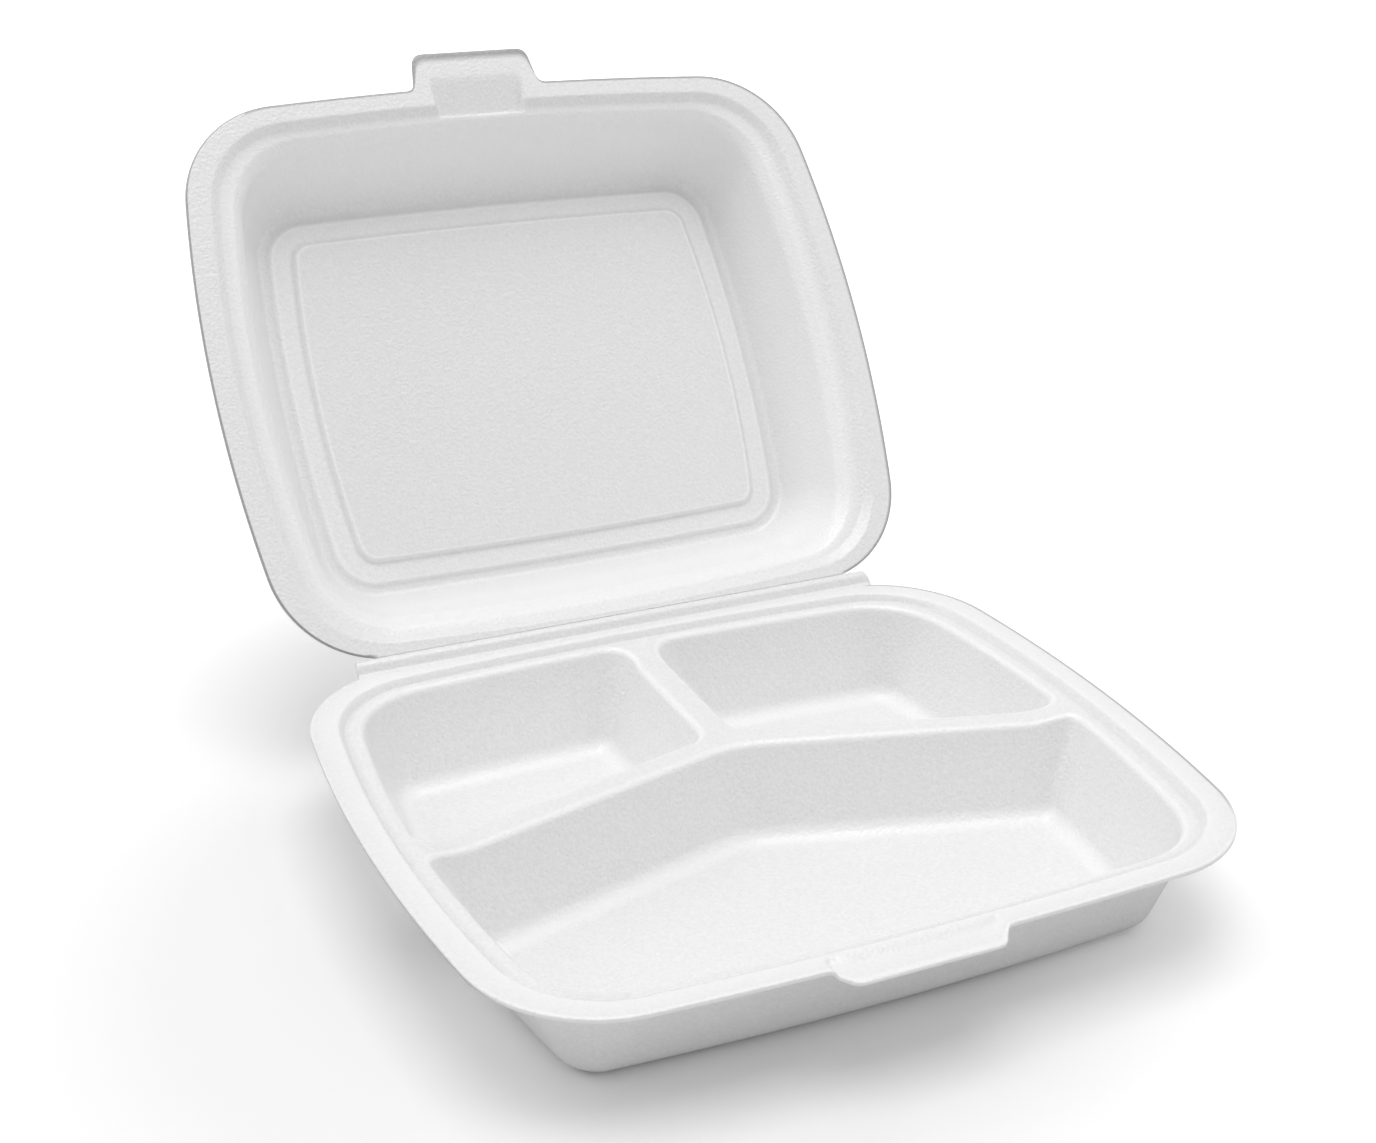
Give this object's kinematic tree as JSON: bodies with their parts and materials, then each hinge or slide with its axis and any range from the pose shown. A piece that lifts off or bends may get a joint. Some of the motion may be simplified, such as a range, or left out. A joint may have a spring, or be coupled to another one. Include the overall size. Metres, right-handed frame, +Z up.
{
  "type": "foam clamshell food container",
  "caption": "Open takeaway box of white foam: a low tray with a large front and smaller back compartments, and a hinged lid with a latch tab standing open behind it.",
  "frame": {"origin": "middle of the tray's flange outline, on the plane of the base that it rests on", "axes": "+Z up, +X along the fold, -Y towards the latch side"},
  "size_m": [0.24, 0.3303, 0.1958],
  "materials": {
    "foam": "matte white thermoformed polystyrene foam with a fine skin"
  },
  "bodies": {
    "tray": {"tray": "foam"},
    "lid": {"lid": "foam"}
  },
  "joints": [
    {"name": "lid_hinge", "type": "hinge", "parent": "tray", "child": "lid", "pos_m": [0, 0.09822, 0.03415], "axis": [1, 0, 0], "range_deg": [-52, 128]}
  ]
}
